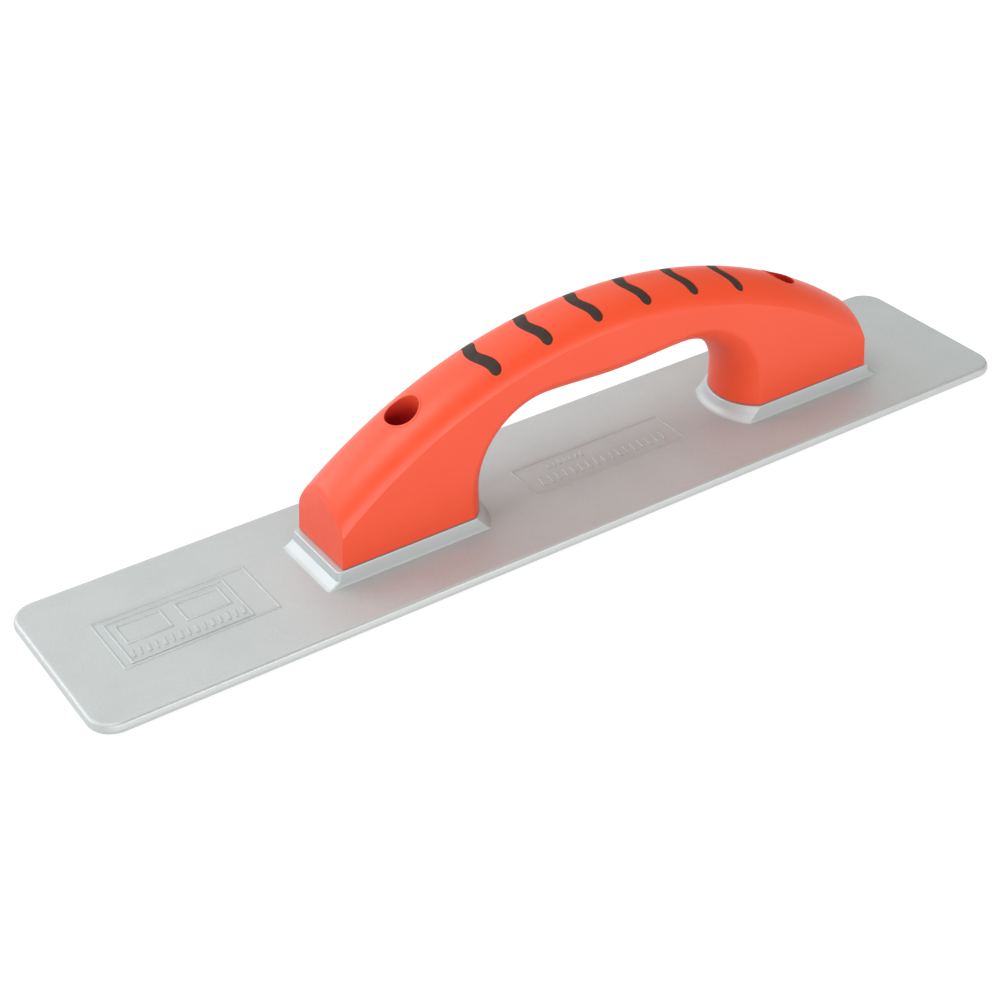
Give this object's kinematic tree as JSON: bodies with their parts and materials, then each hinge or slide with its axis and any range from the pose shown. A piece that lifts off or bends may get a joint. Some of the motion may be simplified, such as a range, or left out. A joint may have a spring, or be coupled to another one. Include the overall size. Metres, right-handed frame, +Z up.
{
  "type": "magnesium hand float",
  "caption": "Long flat cast float blade with rounded edges and an orange soft-skinned arch handle screwed to two raised pads, for smoothing wet concrete.",
  "frame": {"origin": "middle of the blade's flat working face", "axes": "+X along the blade towards the end the handle is nearer to, +Y across the blade, +Z up through the handle"},
  "size_m": [0.4064, 0.0794, 0.0764],
  "materials": {
    "cast_magnesium": "satin, as cast and tumbled",
    "orange_grip": "satin soft plastic",
    "black_core": "moulded hard plastic",
    "black_stripe": "matte soft rubber",
    "zinc_steel": "bright zinc plate"
  },
  "bodies": {
    "root": {"float_blade": "cast_magnesium", "handle_core": "black_core", "handle_grip": "orange_grip", "grip_stripe_1": "black_stripe", "grip_stripe_2": "black_stripe", "grip_stripe_3": "black_stripe", "grip_stripe_4": "black_stripe", "grip_stripe_5": "black_stripe", "grip_stripe_6": "black_stripe", "handle_screw_front": "zinc_steel", "handle_screw_rear": "zinc_steel", "screw_washer_front": "zinc_steel", "screw_washer_rear": "zinc_steel"}
  },
  "joints": []
}
